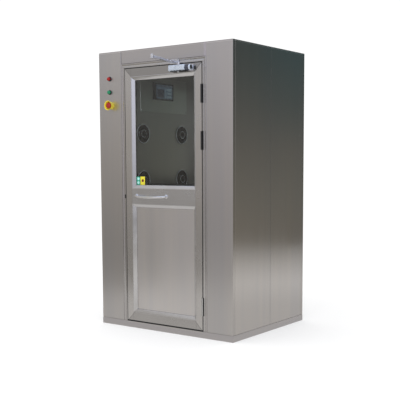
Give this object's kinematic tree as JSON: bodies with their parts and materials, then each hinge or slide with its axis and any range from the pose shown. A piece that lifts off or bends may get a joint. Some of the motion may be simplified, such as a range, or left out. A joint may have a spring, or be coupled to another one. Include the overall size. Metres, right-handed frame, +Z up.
{
  "type": "air shower",
  "caption": "One-person cleanroom air shower: stainless cabinet with a self-closing glazed door at each end, wall nozzles, blowers, lamps and an emergency stop.",
  "frame": {"origin": "centre of the cabinet's footprint on the floor", "axes": "+Z up, -Y out of the entry door, +X to the right of someone facing the entry door"},
  "size_m": [1.25, 1.604, 2.11],
  "materials": {
    "brushed_stainless": "brushed sheet, grain along the long side",
    "black_rubber": "soft matt rubber",
    "light_housing": "white diffuser",
    "nozzle_metal": "dark polished metal",
    "zinc_sheet": "zinc coated sheet",
    "motor_casting": "painted casting",
    "filter_media": "pleated filter paper and mat",
    "display_black": "glossy black",
    "box_paint": "light grey powder coat",
    "red_lens": "clear red, glossy",
    "green_lens": "clear green, glossy",
    "yellow_plastic": "satin moulded",
    "red_plastic": "satin moulded",
    "black_plastic": "moulded",
    "hinge_steel": "turned and ground",
    "arm_steel": "silver paint",
    "closer_silver": "silver paint",
    "bead_aluminium": "satin drawn section",
    "clear_glass": "clear toughened glass",
    "chrome": "polished"
  },
  "bodies": {
    "cabinet": {"base_frame": "brushed_stainless", "floor_plate": "brushed_stainless", "corner_pillars": "brushed_stainless", "headers": "brushed_stainless", "door_frames": "brushed_stainless", "door_gaskets": "black_rubber", "side_panels": "brushed_stainless", "roof_panel": "brushed_stainless", "inner_walls": "brushed_stainless", "ceiling_panel": "brushed_stainless", "ceiling_lights": "light_housing", "nozzle_rings": "nozzle_metal", "return_grilles": "brushed_stainless", "blower_housings": "zinc_sheet", "blower_motors": "motor_casting", "air_filters": "filter_media", "control_cover": "brushed_stainless", "touch_display": "display_black", "control_box": "box_paint", "red_lamp": "red_lens", "green_lamp": "green_lens", "stop_collar": "yellow_plastic", "door_locks": "black_plastic", "frame_hinges": "hinge_steel", "closer_shoes": "arm_steel", "cable_gland": "black_plastic"},
    "left_blower": {"left_blower_wheel": "zinc_sheet"},
    "right_blower": {"right_blower_wheel": "zinc_sheet"},
    "stop_stem": {"stop_stem": "black_plastic"},
    "stop_head": {"stop_head": "red_plastic"},
    "entry_door": {"entry_door_leaf": "brushed_stainless", "entry_door_beads": "bead_aluminium", "entry_window_glass": "clear_glass", "entry_kick_panel": "brushed_stainless", "entry_pull_handle": "chrome", "entry_door_hinges": "hinge_steel", "entry_closer_body": "closer_silver"},
    "entry_main_arm": {"entry_closer_main_arm": "arm_steel"},
    "entry_forearm": {"entry_closer_forearm": "arm_steel"},
    "exit_door": {"exit_door_leaf": "brushed_stainless", "exit_door_beads": "bead_aluminium", "exit_window_glass": "clear_glass", "exit_kick_panel": "brushed_stainless", "exit_pull_handle": "chrome", "exit_door_hinges": "hinge_steel", "exit_closer_body": "closer_silver"},
    "exit_main_arm": {"exit_closer_main_arm": "arm_steel"},
    "exit_forearm": {"exit_closer_forearm": "arm_steel"},
    "nozzle_left_low_front": {"nozzle_ball_left_low_front": "nozzle_metal"},
    "nozzle_left_low_rear": {"nozzle_ball_left_low_rear": "nozzle_metal"},
    "nozzle_left_middle_front": {"nozzle_ball_left_middle_front": "nozzle_metal"},
    "nozzle_left_middle_rear": {"nozzle_ball_left_middle_rear": "nozzle_metal"},
    "nozzle_left_high_front": {"nozzle_ball_left_high_front": "nozzle_metal"},
    "nozzle_left_high_rear": {"nozzle_ball_left_high_rear": "nozzle_metal"},
    "nozzle_right_low_front": {"nozzle_ball_right_low_front": "nozzle_metal"},
    "nozzle_right_low_rear": {"nozzle_ball_right_low_rear": "nozzle_metal"},
    "nozzle_right_middle_front": {"nozzle_ball_right_middle_front": "nozzle_metal"},
    "nozzle_right_middle_rear": {"nozzle_ball_right_middle_rear": "nozzle_metal"},
    "nozzle_right_high_front": {"nozzle_ball_right_high_front": "nozzle_metal"},
    "nozzle_right_high_rear": {"nozzle_ball_right_high_rear": "nozzle_metal"}
  },
  "joints": [
    {"name": "entry_door_swing", "type": "hinge", "parent": "cabinet", "child": "entry_door", "pos_m": [0.3605, -0.504, 0.05], "axis": [0, 0, 1], "range_deg": [0, 90], "stiffness_Nm_per_rad": 8, "springref_deg": -85.94},
    {"name": "entry_main_arm_turn", "type": "hinge", "parent": "entry_door", "child": "entry_main_arm", "pos_m": [0.172, -0.524, 1.96], "axis": [0, 0, 1], "range_deg": [-153.34, 0]},
    {"name": "entry_forearm_turn", "type": "hinge", "parent": "cabinet", "child": "entry_forearm", "pos_m": [0.1, -0.522, 1.99], "axis": [0, 0, 1], "range_deg": [-3.7, 0]},
    {"name": "exit_door_swing", "type": "hinge", "parent": "cabinet", "child": "exit_door", "pos_m": [-0.3605, 0.504, 0.05], "axis": [0, 0, 1], "range_deg": [0, 90], "stiffness_Nm_per_rad": 8, "springref_deg": -85.94},
    {"name": "exit_main_arm_turn", "type": "hinge", "parent": "exit_door", "child": "exit_main_arm", "pos_m": [-0.172, 0.524, 1.96], "axis": [0, 0, 1], "range_deg": [-153.34, 0]},
    {"name": "exit_forearm_turn", "type": "hinge", "parent": "cabinet", "child": "exit_forearm", "pos_m": [-0.1, 0.522, 1.99], "axis": [0, 0, 1], "range_deg": [-3.7, 0]},
    {"name": "left_blower_spin", "type": "hinge", "parent": "cabinet", "child": "left_blower", "pos_m": [-0.5, 0, 0.33], "axis": [1, 0, 0], "continuous": true},
    {"name": "right_blower_spin", "type": "hinge", "parent": "cabinet", "child": "right_blower", "pos_m": [0.5, 0, 0.33], "axis": [1, 0, 0], "continuous": true},
    {"name": "stop_push", "type": "slide", "parent": "cabinet", "child": "stop_stem", "axis": [0, 1, 0], "range_m": [0, 0.005], "stiffness_N_per_m": 2500, "springref_m": -0.002},
    {"name": "stop_twist", "type": "hinge", "parent": "stop_stem", "child": "stop_head", "pos_m": [-0.5, -0.53, 1.706], "axis": [0, 1, 0], "range_deg": [0, 45], "stiffness_Nm_per_rad": 0.1, "springref_deg": -11.46},
    {"name": "nozzle_left_low_front_tilt", "type": "hinge", "parent": "cabinet", "child": "nozzle_left_low_front", "pos_m": [-0.442, -0.247, 0.765], "axis": [0, 1, 0], "range_deg": [-15, 15]},
    {"name": "nozzle_left_low_rear_tilt", "type": "hinge", "parent": "cabinet", "child": "nozzle_left_low_rear", "pos_m": [-0.442, 0.247, 0.765], "axis": [0, 1, 0], "range_deg": [-15, 15]},
    {"name": "nozzle_left_middle_front_tilt", "type": "hinge", "parent": "cabinet", "child": "nozzle_left_middle_front", "pos_m": [-0.442, -0.247, 1.131], "axis": [0, 1, 0], "range_deg": [-15, 15]},
    {"name": "nozzle_left_middle_rear_tilt", "type": "hinge", "parent": "cabinet", "child": "nozzle_left_middle_rear", "pos_m": [-0.442, 0.247, 1.131], "axis": [0, 1, 0], "range_deg": [-15, 15]},
    {"name": "nozzle_left_high_front_tilt", "type": "hinge", "parent": "cabinet", "child": "nozzle_left_high_front", "pos_m": [-0.442, -0.247, 1.497], "axis": [0, 1, 0], "range_deg": [-15, 15]},
    {"name": "nozzle_left_high_rear_tilt", "type": "hinge", "parent": "cabinet", "child": "nozzle_left_high_rear", "pos_m": [-0.442, 0.247, 1.497], "axis": [0, 1, 0], "range_deg": [-15, 15]},
    {"name": "nozzle_right_low_front_tilt", "type": "hinge", "parent": "cabinet", "child": "nozzle_right_low_front", "pos_m": [0.442, -0.247, 0.765], "axis": [0, 1, 0], "range_deg": [-15, 15]},
    {"name": "nozzle_right_low_rear_tilt", "type": "hinge", "parent": "cabinet", "child": "nozzle_right_low_rear", "pos_m": [0.442, 0.247, 0.765], "axis": [0, 1, 0], "range_deg": [-15, 15]},
    {"name": "nozzle_right_middle_front_tilt", "type": "hinge", "parent": "cabinet", "child": "nozzle_right_middle_front", "pos_m": [0.442, -0.247, 1.131], "axis": [0, 1, 0], "range_deg": [-15, 15]},
    {"name": "nozzle_right_middle_rear_tilt", "type": "hinge", "parent": "cabinet", "child": "nozzle_right_middle_rear", "pos_m": [0.442, 0.247, 1.131], "axis": [0, 1, 0], "range_deg": [-15, 15]},
    {"name": "nozzle_right_high_front_tilt", "type": "hinge", "parent": "cabinet", "child": "nozzle_right_high_front", "pos_m": [0.442, -0.247, 1.497], "axis": [0, 1, 0], "range_deg": [-15, 15]},
    {"name": "nozzle_right_high_rear_tilt", "type": "hinge", "parent": "cabinet", "child": "nozzle_right_high_rear", "pos_m": [0.442, 0.247, 1.497], "axis": [0, 1, 0], "range_deg": [-15, 15]}
  ],
  "couplings": [
    {"joint": "entry_main_arm_turn", "follows": "entry_door_swing", "ratio": -1.7027},
    {"joint": "entry_forearm_turn", "follows": "entry_door_swing", "ratio": -0.039991},
    {"joint": "exit_main_arm_turn", "follows": "exit_door_swing", "ratio": -1.7027},
    {"joint": "exit_forearm_turn", "follows": "exit_door_swing", "ratio": -0.039991}
  ]
}
